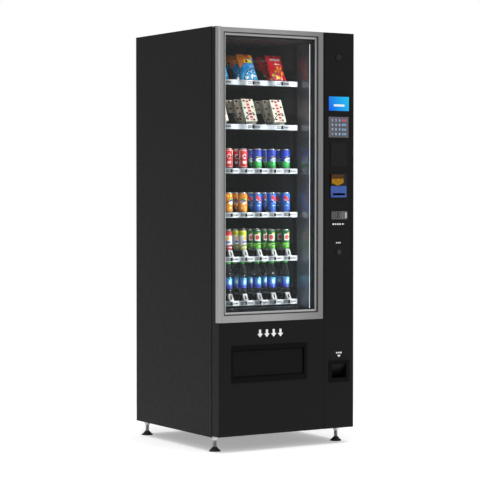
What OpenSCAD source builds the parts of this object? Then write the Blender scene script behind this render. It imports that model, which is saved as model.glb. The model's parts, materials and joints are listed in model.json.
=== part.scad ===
/* [Cabinet] */
// Overall width
body_w = 741.7; // [741.7:0.1:745]
// Overall depth, with the bill validator's nose
body_d = 792.5; // [790:0.5:820]
// Overall height, with the feet
body_h = 1936.75; // [1936:0.25:1960]
// Height of a levelling foot
foot_h = 68; // [68:1:69]
// Sheet thickness of the cabinet and the door
sheet = 1.5; // [1.5:0.1:2]

/* [Door] */
// How far the validator's nose stands in front of the door
nose = 8; // [6:1:10]
// Thickness of the door leaf
door_t = 58; // [58:1:59]
// Thickness of the door seal
seal_t = 6; // [6:0.5:7]
// Width of the silver window frame
frame_w = 568; // [568:1:569]
// Depth of the silver window frame
frame_d = 27; // [27:1:28]

/* [Shelves] */
// Height of the lowest tray floor
tray_low = 655; // [650:1:656]
// Distance from one tray to the next
tray_gap = 205.8; // [205:0.2:209]
// Radius of a vending coil, to the middle of its wire
coil_r = 37; // [36.5:0.1:37]
// Pitch of the coils that hold bags
bag_pitch = 80; // [80:1:82]
// Pitch of the coils that hold boxes
box_pitch = 66; // [66:1:67]
// Pitch of the coils that hold cans and bottles
can_pitch = 70; // [70:1:71]

/* [Hidden] */
wire = 4;
cab_y = door_t + seal_t;          // front edge of the cabinet, behind the door face
back_y = body_d - nose;           // back of the machine
door_z0 = foot_h + 6.25;
door_z1 = body_h - 6.25;
frame_z0 = 593.5;
glass_x = [32, 537];
glass_z = [630, 1905];
flange = 40;
flange_r = 20;                    // narrower on the lock side, so the coin mechanisms can swing out
skin_y = 2.5;                     // front skin of the door shell, behind the fascia sheets
col_x = 577;                      // left edge of the control column's sheet
hinge_x = 14;
hinge_y = 40;
pin_r = 5;
run_fit = 0.06;
// product compartment
in_x = [50, 553];
in_y = 735;
in_z = [600, 1885];
part_x = 577;
// trays
tray_x = [62, 541];
tray_y = [180, 681];
tray_n = 6;
wide_trays = 2;
coil_up = coil_r + wire / 2 + 2.2; // coil centre over the tray floor
coil_end = 675;
strip_h = 24;
shaft_r = 4;
bag_y = 224;
box_y = 216;
can_y = 220;
bag_n = 6;
box_n = 6;
can_n = 6;
can_r = 22.5;
slim_r = 19.5;                    // cans on the curved ramps
bottle_r = 20;
can_h = 93;
bottle_h = 149;
bag_lift = -15.5;                 // undersides of the goods from the coil centre
box_lift = -11;
can_lift = -17;
ramp_lift = 14;
goods_lean = 25;
// control column
col_c = 657;                      // centre line of the controls
lock_z = 1816.5;
knob_z = 904.3;
key_x = [619, 639.4, 659.8, 684.7];
key_w = [15, 15, 15, 25];
key_h = 14;
key_z0 = 1458;
key_step = 21.33;
flap_axis = [7.5, 459];
coin_axis = [3, 376];

KEYS = ["key_a1", "key_a2", "key_a3", "key_a4", "key_b1", "key_b2", "key_b3", "key_b4",
  "key_c1", "key_c2", "key_c3", "key_c4", "key_d1", "key_d2", "key_d3", "key_d4"];
COILS = ["coil_a", "coil_b", "coil_c"];
BAGS = ["bags_a", "bags_b", "bags_c"];
$fn = 48;

black = [0.07, 0.07, 0.075];
gloss = [0.03, 0.03, 0.035];
steel = [0.6, 0.61, 0.62];
silver = [0.55, 0.55, 0.56];
dark = [0.12, 0.12, 0.13];

function tray_z(i) = tray_low + (tray_n - 1 - i) * tray_gap;
function coil_z(i) = tray_z(i) + coil_up;
function wide_lane(j) = tray_x[0] + (tray_x[1] - tray_x[0]) * (j + 0.5) / 3;
function narrow_lane(j) = tray_x[0] + (tray_x[1] - tray_x[0]) * (j + 0.5) / 6;
function lane_count(i) = i < wide_trays ? 3 : 6;
function lane_x(i, j) = i < wide_trays ? wide_lane(j) : narrow_lane(j);

// The modules draw from the door face's lower left corner on the floor; this puts them in the frame.
module place() translate([-body_w / 2, -body_d / 2 + nose, 0]) children();

module block(x, y, z) translate([x[0], y[0], z[0]]) cube([x[1] - x[0], y[1] - y[0], z[1] - z[0]]);

// A round bar along Y.
module bar_y(x, z, r, y) translate([x, y[0], z]) rotate([-90, 0, 0]) cylinder(r = r, h = y[1] - y[0]);

// A 2D outline in X and Z, given thickness along Y.
module along_y(y) translate([0, y[1], 0]) rotate([90, 0, 0]) linear_extrude(y[1] - y[0]) children();

// A 2D outline in Y and Z, given thickness along X.
module along_x(x) translate([x[0], 0, 0]) rotate([90, 0, 90]) linear_extrude(x[1] - x[0]) children();

module round_rect(x, z, r) union() {
  translate([x[0] + r, z[0]]) square([x[1] - x[0] - 2 * r, z[1] - z[0]]);
  translate([x[0], z[0] + r]) square([x[1] - x[0], z[1] - z[0] - 2 * r]);
  for (px = [x[0] + r, x[1] - r], pz = [z[0] + r, z[1] - r]) translate([px, pz]) circle(r);
}

// ---------- cabinet ----------

module cabinet_shell() color(black) difference() {
  block([0, body_w], [cab_y, back_y - sheet], [foot_h, body_h]);
  block([sheet, body_w - sheet], [cab_y + sheet, back_y], [foot_h + sheet, body_h - sheet]);
  block([flange, body_w - flange_r], [cab_y - 1, cab_y + 3], [100, 1895]);
  for (z = [foot_h + sheet - 0.2, body_h - sheet - 4.2])
    block([2, 30.2], [cab_y - 1, cab_y + 3], [z, z + 4.4]);
}

module louvres(x, z, rows) for (i = [0:rows - 1])
  along_y([back_y - 3, back_y + 1]) round_rect([x[0], x[1]], [z + i * 18, z + i * 18 + 7], 3);

module back_panel() color(black) difference() {
  union() {
    block([0, body_w], [back_y - sheet, back_y], [foot_h, body_h]);
    block([640, 690], [back_y - 26, back_y - sheet], [150, 185]);
  }
  louvres([120, 300], 120, 14);
  louvres([330, 540], 120, 14);
  block([645, 685], [back_y - 20, back_y + 1], [155, 180]);
}

module foot() {
  cylinder(r = 26.5, h = 5);
  translate([0, 0, 5]) cylinder(r1 = 24, r2 = 10, h = 15);
  translate([0, 0, 20]) cylinder(r = 8.5, h = foot_h - 20);
  translate([0, 0, foot_h - 16]) cylinder(r = 15, h = 10, $fn = 6);
}

module feet() color(steel) for (x = [35, body_w - 35], y = [cab_y + 30, back_y - 45])
  translate([x, y, 0]) foot();

module hinge_arm(z, pin) {
  difference() {
    block([2.4, 29.8], [28, 120], [z, z + 4]);
    translate([hinge_x, hinge_y, z - 1]) cylinder(r = pin_r, h = 6);
  }
  translate([hinge_x, hinge_y, pin[0]]) cylinder(r = pin_r, h = pin[1] - pin[0]);
}

module hinge_arms() color(steel) {
  hinge_arm(foot_h + sheet, [foot_h + sheet, foot_h + 22]);
  hinge_arm(body_h - sheet - 4, [body_h - 22, body_h - sheet]);
}

module liner() color(dark) {
  for (x = [[flange, in_x[0]], [in_x[1], part_x]]) {
    block(x, [cab_y, in_y + 8], [in_z[0] - 10, in_z[1] + 10]);
    block(x, [cab_y, 190], [278, in_z[0]]);
  }
  block([flange, part_x], [cab_y, in_y + 8], [in_z[1], in_z[1] + 10]);
  block([flange, part_x], [in_y, in_y + 8], [in_z[0] - 10, in_z[1] + 10]);
  block([flange, part_x], [180, in_y + 8], [in_z[0] - 10, in_z[0]]);
  block([flange, part_x], [182, 190], [278, in_z[0]]);
  block([flange, part_x], [cab_y, 190], [278, 300]);
  along_x([in_x[0], in_x[1]]) polygon([[182, 590], [190, 600], [188, 646], [186, 646], [186, 602], [150, 520], [152, 518]]);
}

module led_strip() color([0.9, 0.93, 1]) block([545, in_x[1]], [70, 84], [640, 1880]);

module tray_supports() color(dark) {
  for (x = [[in_x[0], in_x[0] + 3], [in_x[1] - 3, in_x[1]]], y = [200, 640]) difference() {
    block(x, [y, y + 28], [in_z[0], in_z[1]]);
    for (z = [in_z[0] + 25:40:in_z[1] - 20])
      translate([x[0] - 1, y + 14, z]) rotate([0, 90, 0]) cylinder(r = 4, h = 5, $fn = 24);
  }
  for (i = [0:tray_n - 1], x = [[in_x[0] + 3, tray_x[0] + 4], [tray_x[1] - 4, in_x[1] - 3]])
    block(x, [200, 668], [tray_z(i) - 3, tray_z(i)]);
}

module tray_divider(x, z) along_x([x - 0.6, x + 0.6])
  polygon([[200, z], [tray_y[1] - 1, z], [tray_y[1] - 1, z + 78], [250, z + 78], [200, z + 20]]);

module tray(i) {
  z = tray_z(i);
  lanes = lane_count(i);
  block(tray_x, tray_y, [z, z + 1.2]);
  block(tray_x, [tray_y[0], tray_y[0] + 1.2], [z, z + strip_h - 1]);
  for (x = [tray_x[0], tray_x[1] - 1.2]) along_x([x, x + 1.2])
    polygon([[tray_y[0], z], [tray_y[1], z], [tray_y[1], z + 78], [215, z + 78], [tray_y[0], z + 22]]);
  for (j = [1:lanes - 1]) tray_divider(tray_x[0] + (tray_x[1] - tray_x[0]) * j / lanes, z + 0.6);
  difference() {
    block(tray_x, [tray_y[1] - 1.2, tray_y[1]], [z, z + 80]);
    for (j = [0:lanes - 1]) bar_y(lane_x(i, j), coil_z(i), shaft_r + 1, [tray_y[1] - 3, tray_y[1] + 2]);
  }
  // latch lever at the tray's right-hand end
  along_x([tray_x[1], tray_x[1] + 3]) polygon([[184, z - 4], [196, z - 4], [226, z + 62], [218, z + 66]]);
}

module trays() color(dark) for (i = [0:tray_n - 1]) union() tray(i);

module price_strips() color([0.85, 0.86, 0.9]) for (i = [0:tray_n - 1])
  block(tray_x, [tray_y[0] - 4, tray_y[0]], [tray_z(i), tray_z(i) + strip_h]);

module riser(x, zf, top) {
  block([x - 12, x + 12], [184, 664], [top - 5, top]);
  block([x - 12, x + 12], [184, 204], [zf + 1.2, top]);
}

// A pair of rails, outside the coil's turns, that carry the wide bags' corners.
module side_rails(x, zf, top) for (s = [-1, 1])
  block([x + s * 42 - 1.5, x + s * 42 + 1.5], [202, 664], [zf + 1.2, top]);

// Riser with a concave, slotted front that a can or bottle slides down to the drop.
module curved_ramp(x, zf, top) difference() {
  union() {
    block([x - 12, x + 12], [202, 664], [top - 5, top]);
    along_x([x - 12, x + 12]) polygon([[182, zf + 1.2], [204, zf + 1.2], [204, top], [200, top],
      [196.5, top - 8], [192.5, top - 17], [188, top - 24.5], [182, top - 30.5]]);
  }
  block([x - 3.5, x + 3.5], [181, 198], [top - 25, top - 9]);
}

module lane_ramps() color([0.62, 0.63, 0.65]) for (i = [0:tray_n - 1], j = [0:lane_count(i) - 1]) {
  if (i == 0) side_rails(lane_x(i, j), tray_z(i), coil_z(i) + bag_lift - 1.5);
  else if (i == 1) riser(lane_x(i, j), tray_z(i), coil_z(i) + box_lift);
  else if (i < 4) riser(lane_x(i, j), tray_z(i), coil_z(i) + can_lift);
  else curved_ramp(lane_x(i, j), tray_z(i), coil_z(i) + ramp_lift);
}

module coil_motors() color([0.85, 0.85, 0.82]) for (i = [0:tray_n - 1], j = [0:lane_count(i) - 1])
  difference() {
    block([lane_x(i, j) - 17, lane_x(i, j) + 17], [tray_y[1], tray_y[1] + 42], [coil_z(i) - 20, coil_z(i) + 20]);
    bar_y(lane_x(i, j), coil_z(i), shaft_r + run_fit, [tray_y[1] - 1, tray_y[1] + 16]);
  }

// Rings of points along a helix that crosses under y0 and turns from top to top.
function helix_ring(a, y0, pitch, sides) = [for (s = [0:sides - 1])
  let (b = 360 * s / sides + 45, r = coil_r + wire / 2 * cos(b))
  [r * sin(a), y0 + pitch * a / 360 + wire / 2 * sin(b), -r * cos(a)]];

module helix(y0, pitch, turns, steps, sides) {
  n = round(turns * steps);
  points = [for (k = [0:n]) each helix_ring(-180 + k * 360 / steps, y0, pitch, sides)];
  faces = concat(
    [[for (s = [0:sides - 1]) s]],
    [for (k = [0:n - 1], s = [0:sides - 1]) let (t = (s + 1) % sides, a = k * sides, b = a + sides)
      each [[a + s, b + s, b + t], [a + s, b + t, a + t]]],
    [[for (s = [sides - 1:-1:0]) n * sides + s]]);
  polyhedron(points, faces);
}

module coil(i, j, y0, pitch, turns, steps, sides) translate([lane_x(i, j), 0, coil_z(i)]) {
  helix(y0, pitch, turns, steps, sides);
  y1 = y0 + pitch * (turns - 0.5);
  // the clip that grips the wire's end, and the shaft into the motor
  along_x([-4, -0.01]) polygon([[y1 - 2, coil_r - 2], [coil_end - 2, coil_r - 2], [coil_end - 2, -5],
    [coil_end + 2, -5], [coil_end + 2, coil_r + 2], [y1 - 2, coil_r + 2]]);
  bar_y(0, 0, shaft_r, [coil_end + 2, tray_y[1] + 14]);
}

module snack_coil(j) color([0.2, 0.2, 0.21]) coil(0, j, bag_y, bag_pitch, bag_n, 16, 6);

module coils_fixed() color([0.2, 0.2, 0.21]) {
  for (j = [0:2]) coil(1, j, box_y, box_pitch, box_n, 8, 3);
  for (i = [2:tray_n - 1], j = [0:5]) coil(i, j, can_y, can_pitch, can_n, 8, 3);
}

// One snack bag seen from its side: thin seams at the ends, fuller towards the front of the middle.
module bag_side() polygon([[-2.5, 0], [2.5, 0], [5, 10], [8, 30], [10, 54], [12.5, 72], [12.5, 93], [9, 115],
  [2, 130], [2, 138], [-2, 138], [-2, 130], [-11, 113], [-15, 90], [-15, 66], [-10, 39], [-5, 12]]);

module snack_row(j) color([0.15, 0.45, 0.8]) translate([lane_x(0, j), 0, coil_z(0) + bag_lift])
  for (k = [0:bag_n - 1]) translate([0, bag_y - 7 + k * bag_pitch, 0])
    rotate([-goods_lean, 0, 0]) along_x([-44, 44]) bag_side();

module goods_boxes() color([0.93, 0.9, 0.84]) for (j = [0:2], k = [0:box_n - 1])
  translate([lane_x(1, j), box_y - 8.2 + k * box_pitch, coil_z(1) + box_lift])
    rotate([-goods_lean, 0, 0]) block([-32, 32], [-12, 12], [5.7, 122]);

module can(r) {
  translate([0, 0, 3]) cylinder(r = r, h = can_h - 10);
  cylinder(r1 = r - 4, r2 = r, h = 3);
  translate([0, 0, can_h - 7]) cylinder(r1 = r, r2 = r - 3.5, h = 7);
}

module goods_cans() color([0.8, 0.1, 0.1]) for (i = [2:4], j = [0:5], k = [0:can_n - 1])
  translate([lane_x(i, j), can_y + k * can_pitch, coil_z(i) + (i < 4 ? can_lift : ramp_lift)])
    can(i < 4 ? can_r : slim_r);

module bottle() {
  cylinder(r = bottle_r, h = 96);
  translate([0, 0, 96]) cylinder(r1 = bottle_r, r2 = 12, h = 30);
  translate([0, 0, 126]) cylinder(r = 12, h = bottle_h - 126);
}

module goods_bottles() color([0.4, 0.6, 0.9]) for (j = [0:5], k = [0:can_n - 1])
  translate([lane_x(5, j), can_y + k * can_pitch, coil_z(5) + ramp_lift]) bottle();

module cooling_unit() color([0.35, 0.36, 0.38]) {
  block([60, 560], [215, 760], [foot_h + sheet, foot_h + sheet + 4]);
  translate([170, 560, foot_h + sheet + 4]) cylinder(r = 72, h = 150);
  translate([170, 560, foot_h + sheet + 154]) cylinder(r1 = 72, r2 = 40, h = 26);
  for (k = [0:11]) block([330, 540], [690 + k * 5, 692 + k * 5], [foot_h + sheet + 4, 300]);
  for (x = [340, 525]) block([x, x + 6], [684, 750], [foot_h + sheet + 4, 300]);
  difference() {
    block([330, 540], [668, 684], [foot_h + sheet + 4, 300]);
    bar_y(435, 187, 96, [660, 690]);
  }
  block([429, 441], [672, 684], [foot_h + sheet + 4, 187]);
  bar_y(435, 187, 20, [660, 684]);
  bar_y(435, 187, 3 - run_fit, [655.5, 662]);
  block([80, 540], [230, 400], [440, 590]);
}

module cooling_fan() color([0.15, 0.15, 0.16]) {
  difference() {
    bar_y(435, 187, 26, [630, 659]);
    bar_y(435, 187, 3, [655, 660]);
  }
  for (a = [0:72:288]) translate([435, 645, 187]) rotate([0, a, 0]) translate([24, 0, 0]) rotate([28, 0, 0])
    block([0, 62], [-1.5, 1.5], [-16, 16]);
}

module control_box() color([0.7, 0.7, 0.68]) {
  block([part_x, 640], [320, 600], [900, 1300]);
  block([part_x, 625], [330, 560], [600, 820]);
}

// ---------- door ----------

module pivot_block(z) block([sheet, 28], [frame_d + sheet, door_t - sheet], z);

module door_shell() color(black) difference() {
  union() {
    difference() {
      block([0, body_w], [skin_y, door_t], [door_z0, door_z1]);
      block([-1, frame_w], [-1, frame_d], [frame_z0, door_z1 + 1]);
      block([sheet, body_w - sheet], [skin_y + sheet, door_t - sheet], [door_z0 + sheet, frame_z0 - sheet]);
      block([frame_w + sheet, body_w - sheet], [skin_y + sheet, door_t - sheet], [frame_z0 - 5, door_z1 - sheet]);
      block([sheet, frame_w + 5], [frame_d + sheet, door_t - sheet], [frame_z0 - 5, door_z1 - sheet]);
      // open back of the control column
      block([590, body_w - 10], [door_t - 5, door_t + 1], [120, 1900]);
    }
    difference() {
      block([glass_x[0] + 2, glass_x[1] - 2], [frame_d, door_t], [glass_z[0] + 2, glass_z[1] - 2]);
      block([glass_x[0] + 4, glass_x[1] - 4], [frame_d - 1, door_t + 1], [glass_z[0] + 4, glass_z[1] - 4]);
    }
    pivot_block([door_z0, door_z0 + 22]);
    pivot_block([door_z1 - 22, door_z1]);
    block([640, 668], [skin_y, door_t], [lock_z - 16, lock_z + 16]);
  }
  block([glass_x[0] + 4, glass_x[1] - 4], [frame_d - 1, door_t + 1], [glass_z[0] + 4, glass_z[1] - 4]);
  translate([hinge_x, hinge_y, door_z0 - 1]) cylinder(r = pin_r + run_fit, h = 18);
  translate([hinge_x, hinge_y, door_z1 - 17]) cylinder(r = pin_r + run_fit, h = 18);
  bar_y(653.7, lock_z, 13 + run_fit, [skin_y - 1, door_t + 1]);
  block([71.5, 475.5], [skin_y - 1, door_t + 1], [319.5, 483.5]);
  block([596, 718], [skin_y - 1, skin_y + 3], [870, 1645]);
  block([614.5, 704.5], [skin_y - 1, skin_y + 3], [306.5, 384.5]);
}

module window_frame() color(silver) difference() {
  union() {
    difference() {
      translate([0, 0, frame_z0]) linear_extrude(door_z1 - frame_z0) difference() {
        square([frame_w, frame_d]);
        difference() { square(12); translate([12, 12]) circle(12); }
      }
      block([glass_x[0], glass_x[1]], [-1, frame_d + 1], glass_z);
      difference() {
        block([12, frame_w - 2], [2, frame_d + 1], [frame_z0 + 2, door_z1 - 2]);
        block([glass_x[0] - 2, glass_x[1] + 2], [-1, frame_d + 2], [glass_z[0] - 2, glass_z[1] + 2]);
      }
    }
    // lip that holds the glass from the front
    difference() {
      block([glass_x[0] - 1, glass_x[1] + 1], [8, 11], [glass_z[0] - 1, glass_z[1] + 1]);
      block([glass_x[0] + 9, glass_x[1] - 9], [7, 12], [glass_z[0] + 9, glass_z[1] - 9]);
    }
  }
}

module glazing() color([0.7, 0.8, 0.85, 0.35]) {
  gx = [glass_x[0] + 0.5, glass_x[1] - 0.5];
  gz = [glass_z[0] + 0.5, glass_z[1] - 0.5];
  block(gx, [11, 15], gz);
  block(gx, [22, 26], gz);
  difference() {
    block(gx, [15, 22], gz);
    block([gx[0] + 8, gx[1] - 8], [14, 23], [gz[0] + 8, gz[1] - 8]);
  }
}

module gasket() color([0.1, 0.1, 0.1]) difference() {
  block([24, 571], [door_t, cab_y], [282, 1912]);
  block([38, 557], [door_t - 1, cab_y + 1], [296, 1898]);
}

module lower_panel() color(black) difference() {
  block([0, col_x - 1], [0, skin_y], [95, frame_z0 - 1]);
  block([71.5, 475.5], [-1, skin_y + 1], [319.5, 483.5]);
}

module bezel_outline(grow) {
  w = 69 + grow;
  intersection() {
    translate([col_c - w, 857 - grow]) square([2 * w, 809 + 2 * grow]);
    translate([col_c, 1666 + grow - 110]) circle(110, $fn = 96);
    translate([col_c - 200, 1400]) square([400, 400]);
  }
  intersection() {
    translate([col_c - w, 857 - grow]) square([2 * w, 809 + 2 * grow]);
    translate([col_c, 857 - grow + 110]) circle(110, $fn = 96);
    translate([col_c - 200, 800]) square([400, 300]);
  }
  translate([col_c - w, 950]) square([2 * w, 630]);
}

module control_fascia() color(black) union() {
  difference() {
    block([col_x, body_w], [0, skin_y], [door_z0, door_z1]);
    along_y([-1, skin_y + 1]) bezel_outline(0.2);
    bar_y(653.7, lock_z, 13 + run_fit, [-1, skin_y + 1]);
    block([614.5, 704.5], [-1, skin_y + 1], [306.5, 384.5]);
  }
  difference() {
    bar_y(653.7, lock_z, 17, [-1.5, 0]);
    bar_y(653.7, lock_z, 13 + run_fit, [-2, 1]);
  }
}

module control_bezel() color(gloss) difference() {
  along_y([1, skin_y]) bezel_outline(0);
  block([598.7, 715.3], [0, 5], [1565.2, 1634.3]);
  block([599.7, 711.9], [0, 5], [1441.7, 1538.3]);
  block([611.7, 698.3], [0, 5], [1160.3, 1269.3]);
  bar_y(col_c, knob_z, 12 + run_fit, [0, 5]);
  block([689.7, 700.3], [0, 5], [1063.7, 1089.3]);
  block([640, 666], [0, 5], [1072, 1078]);
}

module display() color([0.1, 0.5, 0.8]) {
  block([599, 715], [-0.5, 6], [1565.5, 1634]);
  block([602, 712], [6, 24], [1560, 1638]);
}

module keypad_plate() color([0.45, 0.46, 0.48]) difference() {
  block([600, 711.6], [-0.5, 10], [1442, 1538]);
  block([602.5, 709.1], [2, 8.5], [1444.5, 1535.5]);
  for (c = [0:3], r = [0:3]) let (w = key_w[c] / 2 + 0.3, h = key_h / 2 + 0.3, z = key_z0 + r * key_step)
    block([key_x[c] - w, key_x[c] + w], [-1, 3], [z - h, z + h]);
}

module key(i) color(i == 3 ? [0.9, 0.25, 0.35] : [0.6, 0.78, 0.95]) {
  c = i % 4;
  z = key_z0 + (3 - floor(i / 4)) * key_step;
  w = key_w[c] / 2;
  h = key_h / 2;
  block([key_x[c] - w, key_x[c] + w], [-2.5, 2], [z - h, z + h]);
  block([key_x[c] - w - 1.5, key_x[c] + w + 1.5], [2, 3.4], [z - h - 1.5, z + h + 1.5]);
}

module card_blank() color([0.05, 0.05, 0.055]) along_y([-1.2, 1])
  round_rect([611.5, 701], [1306, 1418], 5);

module validator() color([0.1, 0.1, 0.11]) difference() {
  union() {
    block([612, 698], [0, 148], [1160.6, 1269]);
    along_y([-4, 0]) round_rect([611, 699], [1159, 1272], 4);
    along_y([-8, -4]) polygon([[613, 1228], [613, 1268], [679, 1268], [679, 1228], [646, 1216]]);
    block([613, 697], [-8, -4], [1161, 1171]);
  }
  block([622, 688], [-9, 60], [1172, 1179]);
}

module coin_plate() color(silver) difference() {
  along_y([-1.5, 1]) round_rect([614, 705], [1058, 1095], 4);
  block([650, 653.2], [-2, 2], [1063, 1090]);
  block([689.7, 700.3], [-2, 2], [1063.7, 1089.3]);
}

module coin_button() color([0.8, 0.8, 0.82]) {
  block([690, 700], [-5, skin_y], [1064, 1089]);
  block([687, 703], [skin_y, 4], [1061, 1092]);
}

module change_knob() color([0.09, 0.09, 0.1]) {
  bar_y(col_c, knob_z, 12, [-4, skin_y]);
  bar_y(col_c, knob_z, 15, [skin_y, 4]);
}

module coin_changer() color([0.25, 0.26, 0.28]) difference() {
  block([612, 700], [14, 148], [930, 1110]);
  block([648, 656], [13, 60], [1060, 1111]);
}

module coin_cup() color([0.1, 0.1, 0.11]) difference() {
  union() {
    along_y([-1.5, 0]) round_rect([601, 719], [291.5, 394], 6);
    block([615, 704], [0, 56], [307, 384]);
  }
  block([619, 700], [-2, 52], [311, 380]);
  translate([614, coin_axis[0], coin_axis[1]]) rotate([0, 90, 0]) cylinder(r = 1.5 + run_fit, h = 91);
}

module coin_flap() color([0.18, 0.18, 0.19]) union() {
  translate([0, coin_axis[0], coin_axis[1]]) rotate([30, 0, 0]) block([620, 699], [-1, 1], [-63, 2.5]);
  translate([616, coin_axis[0], coin_axis[1]]) rotate([0, 90, 0]) cylinder(r = 1.5, h = 87);
}

module lock() color(steel) difference() {
  union() {
    bar_y(653.7, lock_z, 13, [-3, 68.5]);
    block([646.7, 660.7], [68.5, 72.5], [lock_z - 75, lock_z + 12]);
  }
  block([652.5, 654.9], [-4, 5], [lock_z - 6, lock_z + 6]);
}

module delivery_bin() color([0.08, 0.08, 0.085]) difference() {
  union() {
    along_y([-2, 0]) round_rect([68, 479], [316, 487], 5);
    block([72, 475], [0, 165], [320, 483]);
  }
  block([75, 472], [12, 162], [323, 480]);
  block([78, 462], [-3, 13], [342, 465]);
  block([80, 467], [68, 160], [470, 484]);
  translate([74, flap_axis[0], flap_axis[1]]) rotate([0, 90, 0]) cylinder(r = 3 + run_fit, h = 392);
}

module delivery_flap() color([0.13, 0.13, 0.14]) union() {
  block([79, 461], [6, 9], [343.5, 463]);
  translate([75.5, flap_axis[0], flap_axis[1]]) rotate([0, 90, 0]) cylinder(r = 3, h = 389);
}

place() cabinet_shell();
place() back_panel();
place() feet();
place() hinge_arms();
place() liner();
place() led_strip();
place() tray_supports();
place() trays();
place() price_strips();
place() lane_ramps();
place() coil_motors();
for (j = [0:2]) place() snack_coil(j);
for (j = [0:2]) place() snack_row(j);
place() coils_fixed();
place() goods_boxes();
place() goods_cans();
place() goods_bottles();
place() cooling_unit();
place() cooling_fan();
place() control_box();
place() door_shell();
place() window_frame();
place() glazing();
place() gasket();
place() lower_panel();
place() control_fascia();
place() control_bezel();
place() display();
place() keypad_plate();
place() card_blank();
place() validator();
place() coin_plate();
place() coin_button();
place() change_knob();
place() coin_changer();
place() coin_cup();
place() coin_flap();
place() lock();
place() delivery_bin();
place() delivery_flap();
for (k = [0:15]) place() key(k);
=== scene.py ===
"""Looks for the snack vending machine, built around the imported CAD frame."""
import json
import math
import random
from functools import reduce

import bmesh
import bpy
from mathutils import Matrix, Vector


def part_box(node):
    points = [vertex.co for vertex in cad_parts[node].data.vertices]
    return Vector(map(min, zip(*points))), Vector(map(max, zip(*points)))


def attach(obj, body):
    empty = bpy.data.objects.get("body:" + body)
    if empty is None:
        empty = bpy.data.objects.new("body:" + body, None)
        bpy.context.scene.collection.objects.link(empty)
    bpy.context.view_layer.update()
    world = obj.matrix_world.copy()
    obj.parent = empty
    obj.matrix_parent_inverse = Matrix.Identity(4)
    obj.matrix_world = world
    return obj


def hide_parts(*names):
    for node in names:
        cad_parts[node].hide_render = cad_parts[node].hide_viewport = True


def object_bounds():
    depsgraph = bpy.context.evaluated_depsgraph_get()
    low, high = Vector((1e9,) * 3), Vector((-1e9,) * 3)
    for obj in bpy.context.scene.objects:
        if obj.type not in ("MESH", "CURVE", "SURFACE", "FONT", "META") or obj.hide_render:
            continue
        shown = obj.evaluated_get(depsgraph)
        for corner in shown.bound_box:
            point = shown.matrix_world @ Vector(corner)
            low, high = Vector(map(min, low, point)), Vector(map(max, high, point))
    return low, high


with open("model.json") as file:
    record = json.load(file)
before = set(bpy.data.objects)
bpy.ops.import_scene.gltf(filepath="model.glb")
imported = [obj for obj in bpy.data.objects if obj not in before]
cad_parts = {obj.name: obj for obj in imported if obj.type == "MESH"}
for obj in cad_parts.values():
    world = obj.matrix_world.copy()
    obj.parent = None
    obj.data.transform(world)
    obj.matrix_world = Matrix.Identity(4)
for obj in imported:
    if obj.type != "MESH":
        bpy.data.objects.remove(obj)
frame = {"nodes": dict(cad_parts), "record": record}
cad_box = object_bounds()
nodes = frame["nodes"]

# ---------- the machine's own coordinates ----------
# Sizes below are in millimetres from the door face's lower left corner on the floor:
# x to the right, y backwards from the door face, z up. at() puts them in the frame.
MM = 0.001
NOSE = 8
CORNER = cad_box[0]


def X(x):
    return CORNER[0] + x * MM


def Y(y):
    return CORNER[1] + (NOSE + y) * MM


def Z(z):
    return z * MM


def at(x, y, z):
    return Vector((X(x), Y(y), Z(z)))


def local(node):
    """A node's box in the machine's own millimetres: ((x0, x1), (y0, y1), (z0, z1))."""
    low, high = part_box(node)
    return (
        ((low.x - CORNER[0]) / MM, (high.x - CORNER[0]) / MM),
        ((low.y - CORNER[1]) / MM - NOSE, (high.y - CORNER[1]) / MM - NOSE),
        (low.z / MM, high.z / MM),
    )


# ---------- shelves, from the price strips and the first coil ----------
TRAYS = 6
WIDE_TRAYS = 2
STRIP_H = 24
STRIP_X, STRIP_Y, STRIP_Z = local("price_strips")
TRAY_GAP = (STRIP_Z[1] - STRIP_Z[0] - STRIP_H) / (TRAYS - 1)
COIL_R = 37
WIRE_R = 2
COIL_BACK = 677  # the plate that a coil's clip rests on
SHAFT_R = 4
SHAFT_END = 695  # inside the motor
PER_LANE = 6  # goods in a lane, and turns of its coil
BAG_PITCH, BOX_PITCH, CAN_PITCH = 80, 66, 70
BAG_Y, BOX_Y, CAN_Y = 224, 216, 220
coil_box = local("coil_a")
COIL_UP = (coil_box[2][0] + coil_box[2][1]) / 2 - (STRIP_Z[1] - STRIP_H)
# from a coil's middle to the foot of what it holds
BAG_LIFT, BOX_LIFT, CAN_LIFT, RAMP_LIFT = -15.5, -11, -17, 14
CAN_R, SLIM_R = 22.5, 19.5


def tray_z(i):
    return STRIP_Z[0] + (TRAYS - 1 - i) * TRAY_GAP


def coil_z(i):
    return tray_z(i) + COIL_UP


def lanes(i):
    return 3 if i < WIDE_TRAYS else 6


def lane_x(i, j):
    return STRIP_X[0] + (STRIP_X[1] - STRIP_X[0]) * (j + 0.5) / lanes(i)


# ---------- materials ----------

TURN = 2 * math.pi


def srgb(r, g, b):
    """A screen colour, 0 to 255, as the linear colour that a shader takes."""
    return tuple(c / 3294.6 if c <= 10 else ((c / 255 + 0.055) / 1.055) ** 2.4 for c in (r, g, b))


def shade(colour, k):
    return tuple(c * k for c in colour)


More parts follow.
